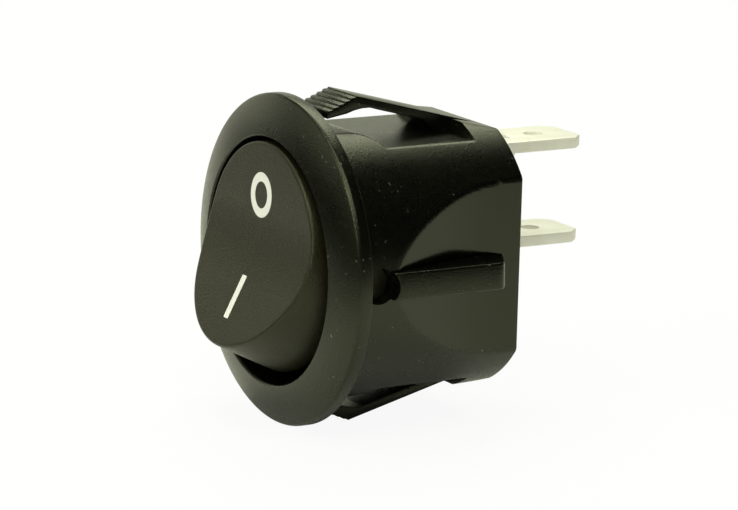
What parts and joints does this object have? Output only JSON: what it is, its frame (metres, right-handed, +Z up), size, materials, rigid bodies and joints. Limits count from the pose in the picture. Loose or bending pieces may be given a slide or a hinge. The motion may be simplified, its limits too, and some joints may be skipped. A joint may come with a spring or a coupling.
{
  "type": "panel rocker switch",
  "caption": "Round snap-in rocker switch: domed bezel, two-way rocker, barrel with serrated snap arms, and flat push-on blades at the back.",
  "frame": {"origin": "centre of the bezel's back face, on the barrel's axis, where the bezel seats on the panel", "axes": "+X across the panel to the right seen from the front, +Y backwards through the panel along the barrel's axis towards the blades, +Z up, towards the O end of the rocker"},
  "size_m": [0.023, 0.0282, 0.023],
  "materials": {
    "housing_plastic": "fine satin moulding grain",
    "rocker_plastic": "fine matt spark-eroded grain",
    "pusher_plastic": "smooth natural nylon",
    "spring_steel": "drawn wire",
    "lever_copper": "rolled copper strip",
    "tinned_brass": "satin tin plate with bare brass sheared edges",
    "contact_silver": "turned silver"
  },
  "bodies": {
    "housing": {"housing": "housing_plastic", "common_terminal": "tinned_brass", "load_terminal": "tinned_brass", "fixed_contact": "contact_silver"},
    "rocker": {"rocker": "rocker_plastic", "pusher_spring": "spring_steel"},
    "pusher": {"pusher": "pusher_plastic"},
    "lever": {"contact_lever": "lever_copper", "moving_contact": "contact_silver"}
  },
  "joints": [
    {"name": "rocker_tilt", "type": "hinge", "parent": "housing", "child": "rocker", "pos_m": [0, 0.00145, 0], "axis": [1, 0, 0], "range_deg": [0, 29.6]},
    {"name": "contact_tilt", "type": "hinge", "parent": "housing", "child": "lever", "pos_m": [0, 0.01005, 0], "axis": [1, 0, 0], "range_deg": [-20, 0]},
    {"name": "pusher_slide", "type": "slide", "parent": "rocker", "child": "pusher", "axis": [0, -0.9668, 0.2554], "range_m": [0, 0.0006], "stiffness_N_per_m": 600, "springref_m": -0.001, "deforming": ["pusher_spring"]}
  ],
  "couplings": [
    {"joint": "contact_tilt", "follows": "rocker_tilt", "ratio": -0.6756}
  ]
}
